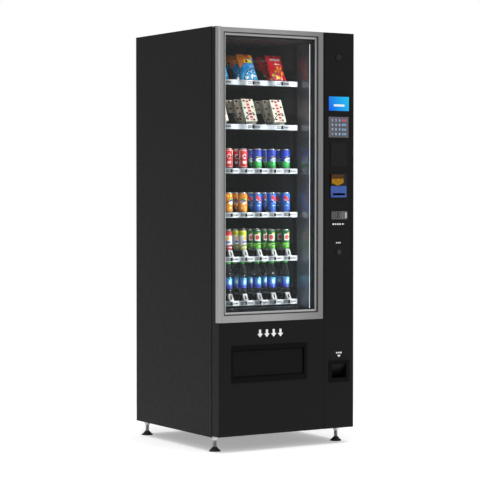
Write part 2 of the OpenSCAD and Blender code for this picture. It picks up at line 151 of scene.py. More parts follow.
class Look:
    """One material's node tree, built with short calls. Sockets and plain values mix freely."""

    def __init__(self, name):
        self.mat = bpy.data.materials.new(name)
        self.mat.use_nodes = True
        self.tree = self.mat.node_tree
        self.tree.nodes.clear()
        coords = self.node("TexCoord")
        self.place = coords.outputs["Object"]
        parts = self.node("SeparateXYZ")
        self.put(parts.inputs[0], self.place)
        self.x, self.y, self.z = parts.outputs

    def node(self, kind):
        return self.tree.nodes.new("ShaderNode" + kind)

    def put(self, socket, value):
        if isinstance(value, bpy.types.NodeSocket):
            self.tree.links.new(value, socket)
        elif isinstance(value, tuple) and len(value) == 3 and socket.type == "RGBA":
            socket.default_value = (*value, 1.0)
        else:
            socket.default_value = value

    def math(self, kind, a, b=0.0, clamp=False):
        n = self.node("Math")
        n.operation = kind
        n.use_clamp = clamp
        self.put(n.inputs[0], a)
        self.put(n.inputs[1], b)
        return n.outputs[0]

    def plus(self, a, b):
        return self.math("ADD", a, b)

    def minus(self, a, b):
        return self.math("SUBTRACT", a, b)

    def times(self, a, b):
        return self.math("MULTIPLY", a, b)

    def both(self, *masks):
        return reduce(self.times, masks)

    def either(self, *masks):
        return reduce(lambda a, b: self.math("MAXIMUM", a, b), masks)

    def above(self, value, edge):
        return self.math("GREATER_THAN", value, edge)

    def below(self, value, edge):
        return self.math("LESS_THAN", value, edge)

    def between(self, value, low, high):
        return self.both(self.above(value, low), self.below(value, high))

    def span(self, value, low, high, out_low=0.0, out_high=1.0):
        n = self.node("MapRange")
        self.put(n.inputs["Value"], value)
        for key, v in (("From Min", low), ("From Max", high), ("To Min", out_low), ("To Max", out_high)):
            self.put(n.inputs[key], v)
        return n.outputs["Result"]

    def mix(self, share, a, b):
        n = self.node("Mix")
        n.data_type = "RGBA"
        self.put(n.inputs[0], share)
        self.put(n.inputs[6], a)
        self.put(n.inputs[7], b)
        return n.outputs[2]

    def stretch(self, scale, place=None):
        n = self.node("Mapping")
        self.put(n.inputs["Vector"], place or self.place)
        n.inputs["Scale"].default_value = scale
        return n.outputs[0]

    def noise(self, scale, detail=2.0, place=None):
        n = self.node("TexNoise")
        self.put(n.inputs["Vector"], place or self.place)
        n.inputs["Scale"].default_value = scale
        n.inputs["Detail"].default_value = detail
        return n.outputs["Fac"]

    def even(self, grain, low=0.0, high=1.0):
        """A noise's usual spread, taken to low and high."""
        return self.span(grain, 0.3, 0.7, low, high)

    def vary(self, scale, low, high):
        """A value that drifts between low and high."""
        return self.even(self.noise(scale, 3), low, high)

    def blotch(self, scale, a, b):
        """A colour that drifts between a and b."""
        return self.mix(self.vary(scale, 0.0, 1.0), a, b)

    def slab(self, axis, low, high):
        """One between two places along an axis, in the machine's millimetres."""
        scale = {"x": X, "y": Y, "z": Z}[axis]
        return self.between(getattr(self, axis), scale(low), scale(high))

    def window(self, grow):
        """One inside the glass's outline, grown by so many millimetres."""
        x, _, z = local("glazing")
        wide, tall = self.slab("x", x[0] - grow, x[1] + grow), self.slab("z", z[0] - grow, z[1] + grow)
        return self.both(wide, tall)

    def cells(self, scale, place=None):
        n = self.node("TexVoronoi")
        self.put(n.inputs["Vector"], place or self.place)
        n.inputs["Scale"].default_value = scale
        return n.outputs["Distance"]

    def wave(self, value, length):
        """A sine along a value, from -1 to 1, that repeats after length."""
        return self.math("SINE", self.times(value, TURN / length))

    def bump(self, height, distance):
        n = self.node("Bump")
        self.put(n.inputs["Height"], height)
        n.inputs["Distance"].default_value = distance
        n.inputs["Strength"].default_value = 1.0
        return n.outputs[0]

    def principled(self, colour, rough, metal=0.0, normal=None, gloss=0.5, coat=0.0, glow=None, power=0.0):
        n = self.node("BsdfPrincipled")
        values = {"Base Color": colour, "Roughness": rough, "Metallic": metal,
                  "Specular IOR Level": gloss, "Coat Weight": coat, "Coat Roughness": 0.08}
        if glow is not None:
            values |= {"Emission Color": glow, "Emission Strength": power}
        if normal is not None:
            values["Normal"] = normal
        for key, value in values.items():
            self.put(n.inputs[key], value)
        return n.outputs[0]

    def finish(self, shader):
        out = self.node("OutputMaterial")
        self.put(out.inputs["Surface"], shader)
        return self.mat

    def surface(self, *args, **kinds):
        return self.finish(self.principled(*args, **kinds))

    def see_through(self, tint, solid, share):
        """A clear surface: straight through, with the solid shader mixed in by share."""
        clear = self.node("BsdfTransparent")
        self.put(clear.inputs["Color"], tint)
        return self.blend(share, clear.outputs[0], solid)

    def blend(self, share, a, b):
        """Two shaders, mixed from a to b by share."""
        n = self.node("MixShader")
        for socket, value in zip(n.inputs, (share, a, b)):
            self.put(socket, value)
        return n.outputs[0]

    def facing(self, amount):
        """How far a surface turns away from view, as the facing and the fresnel value."""
        n = self.node("LayerWeight")
        n.inputs["Blend"].default_value = amount
        return n.outputs["Facing"], n.outputs["Fresnel"]


def powder_coat(name, colour, rough, gloss, peel=0.00012, low_shade=0.0):
    """Paint with a fine orange peel, faint clouds in tone and tiny pale flecks, and painted shade that
    darkens it low down.
    """
    m = Look(name)
    cloud = m.noise(5, 4)
    tone = m.mix(m.even(cloud), shade(colour, 0.96), shade(colour, 1.05))
    # Painted shade: the tone darkens towards black from 1300 mm down to the floor.
    tone = m.mix(m.span(m.z, Z(1300), Z(0), 0.0, low_shade), tone, (0, 0, 0))
    flecks = m.span(m.noise(2200), 0.66, 0.8, 0.0, 0.08)
    tone = m.mix(flecks, tone, (0.2, 0.2, 0.2))
    dull = m.vary(30, rough - 0.03, rough + 0.03)
    return m.surface(tone, dull, normal=m.bump(m.noise(1300), peel), gloss=gloss)


def moulded(name, colour, rough, gloss=0.4, grain=0.00015, scale=700):
    """Moulded plastic with a fine leathery grain."""
    m = Look(name)
    pits = m.cells(scale)
    tone = m.blotch(8, shade(colour, 0.9), shade(colour, 1.1))
    dull = m.vary(60, rough - 0.05, rough + 0.08)
    return m.surface(tone, dull, normal=m.bump(pits, grain), gloss=gloss)


def brushed(name, colour, rough, along=(1, 1, 1)):
    """Bare metal with fine lines along the axis whose stretch is small."""
    m = Look(name)
    lines = m.noise(900, 3, m.stretch(along))
    tone = m.mix(m.even(lines), shade(colour, 0.86), shade(colour, 1.1))
    dull = m.even(lines, rough - 0.07, rough + 0.08)
    return m.surface(tone, dull, 1.0, normal=m.bump(lines, 0.00002))


def window_silver():
    """The window frame: satin metal, with painted shade in the channel round the opening, a painted highlight
    on the brighter inner ledge, painted shade lines beside the glass and painted shade towards the right.
    """
    m = Look("frame_silver")
    glass_x, _, glass_z = local("glazing")
    upright = m.slab("z", *glass_z)
    lines = m.noise(700, 3, m.stretch((1, 1, 0.03)))
    across = m.noise(700, 3, m.stretch((0.03, 1, 1)))
    grain = m.span(upright, 0, 1, across, lines)
    inner = m.window(0.8)
    # Painted shade: the step's side round the opening and the edge just outside it are coloured nearly black.
    rim_shade = m.both(m.window(5.5), m.below(m.y, Y(7.9)))
    groove_shade = m.either(rim_shade, m.both(inner, m.slab("y", 0.6, 7.9)))
    # Painted highlight: the inner ledge is coloured brighter than the rest of the frame.
    lip_highlight = m.both(inner, m.slab("y", 7.9, 11.5))
    tone = m.mix(m.even(grain), (0.39, 0.39, 0.39), (0.45, 0.45, 0.45))
    # Painted shade: the frame darkens towards its right side.
    tone = m.mix(m.span(m.x, X(300), X(568), 0.0, 0.5), tone, (0.1, 0.1, 0.1))
    # Painted shade: two thin dark lines down each side of the glass, 11 and 19 mm out from it.
    for far in (11, 19):
        near = m.either(
            m.slab("x", glass_x[0] - far - 1.5, glass_x[0] - far),
            m.slab("x", glass_x[1] + far, glass_x[1] + far + 1.5),
        )
        tone = m.mix(m.times(near, 0.45), tone, (0.15, 0.15, 0.15))
    tone = m.mix(lip_highlight, tone, (0.6, 0.6, 0.61))
    tone = m.mix(groove_shade, tone, (0.05, 0.05, 0.052))
    dull = m.even(grain, 0.36, 0.5)
    return m.surface(tone, dull, 0.75, normal=m.bump(grain, 0.00003))


def pane_glass():
    """Clear double glazing, with the dark spacer bar that runs round its edge."""
    m = Look("pane_glass")
    middle = m.window(-8.2)
    smears = m.noise(6, 4)
    mirror = m.principled((0.9, 0.94, 0.96), m.even(smears, 0.01, 0.05), gloss=0.5)
    spacer = m.principled(m.mix(m.noise(400), (0.012, 0.012, 0.013), (0.03, 0.03, 0.032)), 0.4)
    _, fresnel = m.facing(0.35)
    share = m.times(fresnel, 0.10)
    clear = m.see_through((0.975, 0.985, 0.98), mirror, share)
    return m.finish(m.blend(middle, spacer, clear))


def led_look():
    """The light bar: a lit diffuser along its side, with the lamps showing faintly, in a grey channel."""
    m = Look("led_white")
    window = m.slab("y", 75, 80.5)
    beat = m.wave(m.z, 0.012)
    colour = m.mix(m.span(beat, -1, 1), (0.80, 0.87, 0.98), (0.92, 0.96, 1.0))
    glow = m.mix(window, (0, 0, 0), colour)
    body = m.mix(window, (0.16, 0.17, 0.19), (0.8, 0.85, 0.9))
    return m.surface(body, m.vary(40, 0.25, 0.4), glow=glow, power=1.1)


def screen():
    """The display: a blue to cyan picture with one plain white bar, in a black surround."""
    m = Look("screen_blue")
    x0, x1 = local("display")[0]
    z0, z1 = 1565.5, 1634
    u = m.span(m.x, X(x0), X(x1))
    v = m.span(m.z, Z(z0), Z(z1))
    wash = m.plus(m.times(u, 0.75), m.times(v, 0.25))
    wash = m.plus(wash, m.span(m.noise(22, 3), 0.0, 1.0, -0.09, 0.09))
    picture = m.mix(m.math("MULTIPLY", wash, 1.0, True), srgb(10, 92, 240), srgb(28, 205, 255))
    bar = m.both(m.slab("x", 628, 689), m.slab("z", 1587, 1597))
    picture = m.mix(bar, picture, (0.85, 1.0, 1.0))
    lines = m.wave(m.z, 0.0007)
    picture = m.mix(m.span(lines, -1, 1, 0.0, 0.12), picture, (0, 0, 0))
    inside = m.both(m.slab("x", x0 + 1.2, x1 - 1.2), m.slab("z", z0 + 1.2, z1 - 1.2))
    front = m.both(m.below(m.y, Y(0.2)), inside)
    glow = m.mix(front, (0, 0, 0), picture)
    body = m.mix(front, (0.012, 0.012, 0.013), m.mix(0.85, picture, (0, 0, 0)))
    return m.surface(body, 0.16, glow=glow, power=0.8)


def validator_look():
    """Black moulding with a lit amber shield over a lit blue snout."""
    m = Look("validator_black")
    grain = m.cells(380)
    front = m.below(m.y, Y(-0.5))
    shield_side = m.below(m.x, X(679))
    amber = m.both(m.below(m.y, Y(-4.1)), m.above(m.z, Z(1212)), shield_side)
    blue = m.both(front, m.below(m.z, Z(1214)), m.above(m.z, Z(1161)))
    amber_tone = m.mix(m.span(grain, 0.1, 0.7), srgb(200, 148, 10), srgb(112, 74, 4))
    amber_tone = m.mix(m.span(m.z, Z(1247), Z(1249)), amber_tone, srgb(70, 44, 18))
    blue_tone = m.mix(m.span(m.noise(260, 3), 0.35, 0.65), srgb(46, 70, 136), srgb(72, 102, 170))
    # Painted shade: the bill slot is coloured dark navy.
    slot = m.both(m.slab("x", 620, 690), m.slab("z", 1170, 1181))
    blue_tone = m.mix(slot, blue_tone, srgb(18, 16, 80))
    tone = m.mix(blue, m.mix(amber, (0.014, 0.014, 0.016), amber_tone), blue_tone)
    glow = m.mix(m.either(blue, amber), (0, 0, 0), tone)
    dull = m.vary(120, 0.22, 0.36)
    return m.surface(tone, dull, normal=m.bump(grain, 0.0002), gloss=0.2, glow=glow, power=0.12)


def coin_look():
    """Brushed coin plate with an etched grid on its left side."""
    m = Look("coin_silver")
    x = local("coin_plate")[0]
    lines = m.noise(900, 3, m.stretch((0.04, 1, 1)))
    tone = m.mix(m.even(lines), (0.15, 0.153, 0.158), (0.2, 0.204, 0.21))
    rows = m.above(m.wave(m.z, 0.0085), 0.72)
    cols = m.above(m.wave(m.x, 0.011), 0.78)
    side = m.below(m.x, X(x[0] + 0.62 * (x[1] - x[0])))
    tone = m.mix(m.both(side, m.either(rows, cols)), tone, (0.045, 0.045, 0.048))
    return m.surface(tone, m.even(lines, 0.3, 0.44), 0.8, normal=m.bump(lines, 0.00002))


def foot_look():
    """A zinc-plated stem and nut over a black rubber base."""
    m = Look("foot_steel")
    rings = m.wave(m.z, 0.0016)
    thread = m.both(m.slab("z", 20, 50), m.slab("y", 0, 900))
    low = m.below(m.z, Z(20.1))
    zinc = m.mix(m.even(m.noise(160, 4)), (0.45, 0.46, 0.48), (0.66, 0.67, 0.69))
    tone = m.mix(low, zinc, (0.014, 0.014, 0.014))
    height = m.times(rings, thread)
    metal = m.minus(1.0, low)
    return m.surface(tone, m.span(low, 0, 1, 0.28, 0.7), metal, normal=m.bump(height, 0.0004))


def machine_look():
    """Painted steel, with bare finned aluminium where the condenser is and black enamel on the compressor."""
    m = Look("machine_grey")
    fins = m.both(m.slab("x", 330, 541), m.slab("y", 668, 751), m.below(m.z, Z(301)))
    pot = m.both(m.slab("x", 95, 245), m.slab("y", 485, 635), m.slab("z", 74, 252))
    paint = m.mix(m.even(m.noise(12, 4)), (0.27, 0.28, 0.29), (0.36, 0.37, 0.38))
    tone = m.mix(fins, paint, (0.55, 0.56, 0.58))
    tone = m.mix(pot, tone, (0.015, 0.015, 0.017))
    metal = m.times(fins, 0.9)
    return m.surface(tone, m.vary(40, 0.35, 0.5), metal, normal=m.bump(m.noise(900), 0.0001))


def ramp_look():
    """Pale moulded rails, with painted shade inside the slots of the curved fronts."""
    m = Look("ramp_grey")
    pitch = (STRIP_X[1] - STRIP_X[0]) / 6
    share = m.math("FRACT", m.math("DIVIDE", m.minus(m.x, X(STRIP_X[0])), pitch * MM))
    off = m.math("ABSOLUTE", m.minus(share, 0.5))
    tops = [coil_z(i) + RAMP_LIFT for i in (4, 5)]
    rows = m.either(*(m.slab("z", top - 25.2, top - 8.8) for top in tops))
    # Painted shade: the inside of each slot is coloured nearly black.
    slots = m.both(m.below(off, 3.6 / pitch), rows, m.below(m.y, Y(198.5)))
    tone = m.blotch(30, (0.4, 0.41, 0.43), (0.5, 0.51, 0.53))
    tone = m.mix(slots, tone, (0.03, 0.03, 0.033))
    return m.surface(tone, 0.42, normal=m.bump(m.cells(500), 0.0001))


def wire_look():
    """Black nylon-coated wire."""
    m = Look("coil_wire")
    tone = m.blotch(70, (0.012, 0.012, 0.014), (0.028, 0.028, 0.031))
    return m.surface(tone, m.vary(200, 0.2, 0.36), normal=m.bump(m.noise(1500), 0.00005))


def strip_look():
    """White price rail with a pale blue cast and a fine extruded line pattern."""
    m = Look("strip_white")
    lines = m.wave(m.z, 0.003)
    tone = m.blotch(14, (0.56, 0.59, 0.67), (0.63, 0.66, 0.74))
    return m.surface(tone, 0.6, normal=m.bump(lines, 0.0001), gloss=0.2)


def liner_look():
    """The compartment: satin walls with painted light that makes them lighter and bluer low down, a nearly
    black back and a dark floor.
    """
    m = Look("liner_black")
    # Painted light: the walls are coloured lighter and bluer low down.
    low = m.span(m.z, Z(1500), Z(700))
    lit_wall = m.mix(low, (0.07, 0.062, 0.074), (0.11, 0.132, 0.165))
    back = m.above(m.y, Y(660))
    floor = m.both(m.below(m.z, Z(642)), m.below(m.y, Y(660)))
    tone = m.mix(back, lit_wall, (0.003, 0.0033, 0.004))
    tone = m.mix(floor, tone, (0.05, 0.056, 0.066))
    dull = m.plus(m.vary(9, 0.22, 0.28), m.times(back, 0.25))
    return m.surface(tone, dull, 0.2, normal=m.bump(m.noise(500), 0.00006), gloss=0.5)


# ---------- printed goods ----------


class Print(Look):
    """A look drawn on the piece's label map: u across and v up, each from 0 to 1."""

    def __init__(self, name):
        super().__init__(name)
        label = self.node("UVMap")
        label.uv_map = "label"
        parts = self.node("SeparateXYZ")
        self.put(parts.inputs[0], label.outputs[0])
        self.uv = label.outputs[0]
        self.u, self.v, _ = parts.outputs
        self.tone = None

    def patch(self, across, up):
        """One inside a rectangle."""
        return self.both(self.between(self.u, *across), self.between(self.v, *up))

    def ellipse(self, centre, radii):
        """One inside an ellipse, zero outside."""
        du = self.math("DIVIDE", self.minus(self.u, centre[0]), radii[0])
        dv = self.math("DIVIDE", self.minus(self.v, centre[1]), radii[1])
        return self.below(self.plus(self.times(du, du), self.times(dv, dv)), 1.0)

    def ink(self, mask, *colour):
        """Lays a colour over the tone so far, inside a mask. Three numbers are a screen colour."""
        self.tone = self.mix(mask, self.tone, srgb(*colour) if len(colour) == 3 else colour[0])

    def printed(self, rough=0.3):
        """The last step: slight ink mottle and a thin clear coat."""
        self.ink(self.vary(180, 0.0, 0.04), (0.9, 0.9, 0.9))
        return self.surface(self.tone, rough, gloss=0.3, coat=0.1)


def can_red():
    m = Print("can_red")
    m.tone = m.mix(m.span(m.v, 0, 1), srgb(196, 12, 22), srgb(232, 30, 38))
    panel = m.either(m.between(m.u, 0.3, 0.345), m.between(m.u, 0.655, 0.7))
    m.ink(m.both(panel, m.between(m.v, 0.1, 0.92)), 238, 232, 232)
    m.ink(m.ellipse((0.5, 0.62), (0.075, 0.13)), 244, 240, 240)
    m.ink(m.ellipse((0.5, 0.62), (0.05, 0.088)), 206, 20, 28)
    m.ink(m.either(m.between(m.v, 0.93, 0.95), m.between(m.v, 0.05, 0.07)), 240, 236, 236)
    m.ink(m.patch((0.43, 0.57), (0.22, 0.36)), 236, 214, 214)
    return m.printed()


def can_blue_green():
    m = Print("can_blue_green")
    level = m.plus(m.v, m.times(m.wave(m.u, 0.5), 0.025))
    m.tone = m.mix(m.span(m.v, 0.4, 1.0), srgb(34, 80, 214), srgb(20, 52, 180))
    m.ink(m.ellipse((0.5, 0.45), (0.12, 0.13)), 214, 226, 242)
    m.ink(m.ellipse((0.53, 0.44), (0.07, 0.06)), 60, 110, 214)
    m.ink(m.both(m.between(level, 0.56, 0.62), m.between(m.u, 0.42, 0.62)), 240, 224, 40)
    m.ink(m.below(level, 0.34), m.mix(m.span(m.v, 0, 0.34), srgb(20, 150, 60), srgb(50, 200, 90)))
    return m.printed()


def can_orange():
    m = Print("can_orange")
    m.tone = m.mix(m.span(m.noise(9, 3, m.uv), 0.35, 0.65), srgb(240, 128, 10), srgb(255, 178, 40))
    m.ink(m.both(m.ellipse((0.5, 0.52), (0.13, 0.16)), m.above(m.v, 0.49)), 54, 84, 190)
    m.ink(m.ellipse((0.5, 0.5), (0.105, 0.115)), 250, 232, 196)
    m.ink(m.patch((0.4, 0.6), (0.66, 0.7)), 70, 186, 70)
    m.ink(m.ellipse((0.46, 0.2), (0.03, 0.05)), 252, 236, 190)
    return m.printed()


def can_blue():
    m = Print("can_blue")
    m.tone = m.mix(m.span(m.v, 0, 1), srgb(16, 84, 190), srgb(28, 116, 218))
    slant = m.plus(m.v, m.times(m.minus(m.u, 0.5), 1.1))
    middle = m.between(m.u, 0.41, 0.59)
    m.ink(m.both(middle, m.between(slant, 0.62, 0.84)), 226, 38, 56)
    m.ink(m.both(middle, m.between(slant, 0.55, 0.6)), 238, 240, 246)
    m.ink(m.patch((0.44, 0.57), (0.3, 0.35)), 150, 196, 236)
    return m.printed()


def can_white(name, top, foot):
    m = Print(name)
    m.tone = m.mix(m.span(m.v, 0.2, 0.7), srgb(196, 198, 206), srgb(234, 234, 236))
    m.ink(m.above(m.v, 0.74), top)
    m.ink(m.ellipse((0.5, 0.6), (0.06, 0.13)), 226, 176, 50)
    m.ink(m.patch((0.4, 0.6), (0.34, 0.44)), 70, 84, 176)
    m.ink(m.either(m.below(m.v, 0.07), m.between(m.v, 0.12, 0.2)), foot)
    return m.printed()


def can_green():
    m = Print("can_green")
    m.tone = m.mix(m.span(m.v, 0.3, 1.0), srgb(6, 84, 44), srgb(14, 118, 62))
    m.ink(m.patch((0.38, 0.62), (0.44, 0.8)), 238, 234, 222)
    m.ink(m.ellipse((0.5, 0.62), (0.09, 0.13)), 216, 74, 84)
    m.ink(m.patch((0.52, 0.62), (0.8, 0.88)), 250, 210, 40)
    m.ink(m.below(m.v, 0.3), m.mix(m.span(m.v, 0, 0.3), srgb(70, 176, 30), srgb(128, 222, 60)))
    m.ink(m.patch((0.4, 0.62), (0.16, 0.2)), 214, 240, 190)
    return m.printed()


def bare_can():
    m = Look("can_aluminium")
    lines = m.noise(500, 3, m.stretch((1, 1, 0.1)))
    dull = m.even(lines, 0.2, 0.34)
    return m.surface((0.6, 0.61, 0.63), dull, 1.0, normal=m.bump(lines, 0.00004))


def bottle_label():
    m = Print("bottle_label")
    # Painted shade: the label runs from violet-blue on its left side to cyan at the front; the blue and cyan
    # are print, the darker left side is painted shade.
    m.tone = m.mix(m.span(m.u, 0.32, 0.58), srgb(66, 84, 224), srgb(70, 214, 240))
    m.ink(m.span(m.v, 0.55, 0.2), 44, 56, 196)
    m.ink(m.ellipse((0.5, 0.62), (0.05, 0.2)), 206, 240, 250)
    m.ink(m.between(m.v, 0.13, 0.2), 16, 22, 110)
    return m.printed()


def bottle_clear():
    """Thin clear plastic: nearly invisible face on, bright towards its edges."""
    m = Look("bottle_clear")
    facing, _ = m.facing(0.45)
    tone = m.mix(m.noise(60), (0.1, 0.12, 0.13), (0.16, 0.18, 0.2))
    gloss = m.principled(tone, m.even(m.noise(90), 0.05, 0.12), gloss=0.6)
    return m.finish(m.see_through((0.8, 0.86, 0.9), gloss, m.span(facing, 0.05, 0.9, 0.08, 0.6)))


def bottle_cap():
    m = Look("bottle_cap")
    tone = m.mix(m.even(m.noise(120)), srgb(24, 150, 44), srgb(52, 190, 62))
    return m.surface(tone, 0.35, normal=m.bump(m.noise(900), 0.0001))


def bag_blue():
    m = Print("bag_blue")
    m.tone = m.mix(m.span(m.v, 0.0, 0.8), srgb(40, 168, 226), srgb(16, 118, 200))
    puffs = m.cells(7, m.stretch((1.0, 1.5, 1), m.uv))
    middle = m.ellipse((0.56, 0.36), (0.33, 0.22))
    m.ink(m.both(middle, m.below(puffs, 0.34)), 238, 240, 242)
    m.ink(m.both(middle, m.below(puffs, 0.2)), 226, 120, 50)
    m.ink(m.both(m.below(m.v, 0.17), m.below(m.cells(9, m.uv), 0.36)), 236, 244, 250)
    wedge = m.minus(m.v, m.times(m.u, 0.62))
    top = m.either(m.above(m.v, 0.84), m.above(wedge, 0.44))
    m.ink(top, m.mix(m.span(m.v, 0.5, 1), srgb(224, 118, 8), srgb(198, 112, 24)))
    m.ink(m.patch((0.34, 0.86), (0.62, 0.78)), 240, 206, 30)
    m.ink(m.ellipse((0.46, 0.7), (0.07, 0.05)), 30, 30, 20)
    return bag_film(m)


def bag_red():
    m = Print("bag_red")
    m.tone = m.mix(m.span(m.v, 0.0, 0.9), srgb(196, 6, 22), srgb(226, 20, 36))
    chunks = m.cells(5.5, m.stretch((1.1, 1.3, 1), m.uv))
    middle = m.ellipse((0.62, 0.3), (0.32, 0.26))
    m.ink(m.both(middle, m.below(chunks, 0.46)), 250, 150, 10)
    m.ink(m.both(middle, m.below(chunks, 0.26)), 255, 206, 40)
    m.ink(m.ellipse((0.22, 0.2), (0.1, 0.06)), 226, 214, 90)
    m.ink(m.patch((0.2, 0.84), (0.755, 0.84)), 236, 214, 218)
    m.ink(m.patch((0.4, 0.74), (0.6, 0.635)), 244, 232, 232)
    return bag_film(m)


def bag_film(m):
    """Glossy film: fine wrinkles all over with painted sheen on their crests, and ribbed crimps across both
    ends.
    """
    ends = m.either(m.below(m.v, 0.06), m.above(m.v, 0.94))
    ribs = m.wave(m.v, 1 / 95)
    crumple = m.noise(55, 5)
    height = m.plus(m.both(ribs, ends, 0.35), crumple)
    # Painted sheen: the wrinkle crests are coloured paler, up to a fifth of the way to white.
    film_sheen = m.mix(m.span(crumple, 0.62, 0.75, 0, 0.2), m.tone, (0.85, 0.87, 0.9))
    return m.surface(film_sheen, m.vary(40, 0.2, 0.34), 0.05, normal=m.bump(height, 0.0016), coat=0.2)


def carton_front():
    m = Print("box_front")
    m.tone = m.mix(m.even(m.noise(6, 3, m.uv)), srgb(236, 229, 210), srgb(246, 242, 232))
    spots = [(0.2, 0.92), (0.74, 0.95), (0.16, 0.6), (0.82, 0.66)]
    spots += [(0.26, 0.36), (0.8, 0.3), (0.18, 0.1), (0.72, 0.07)]
    beans = m.either(*(m.ellipse(spot, (0.1, 0.045)) for spot in spots))
    m.ink(beans, m.mix(m.noise(30, 2, m.uv), srgb(76, 8, 14), srgb(116, 16, 22)))
    axis = m.plus(m.times(m.v, -0.1), 0.56)
    near = m.math("ABSOLUTE", m.minus(m.u, axis))
    marks = m.above(m.wave(m.v, 1 / 7), -0.55)
    m.ink(m.both(m.below(near, 0.12), marks, m.between(m.v, 0.05, 0.95)), 226, 56, 72)
    return m.printed(rough=0.45)


def carton_side():
    m = Look("box_side")
    tone = m.blotch(20, srgb(222, 214, 192), srgb(238, 232, 216))
    beans = m.below(m.cells(60, m.stretch((1, 1, 0.6))), 0.2)
    tone = m.mix(beans, tone, srgb(122, 22, 26))
    fibre = m.noise(600, 3, m.stretch((1, 1, 0.2)))
    return m.surface(tone, 0.5, normal=m.bump(fibre, 0.00008), gloss=0.3)


# ---------- mesh building ----------


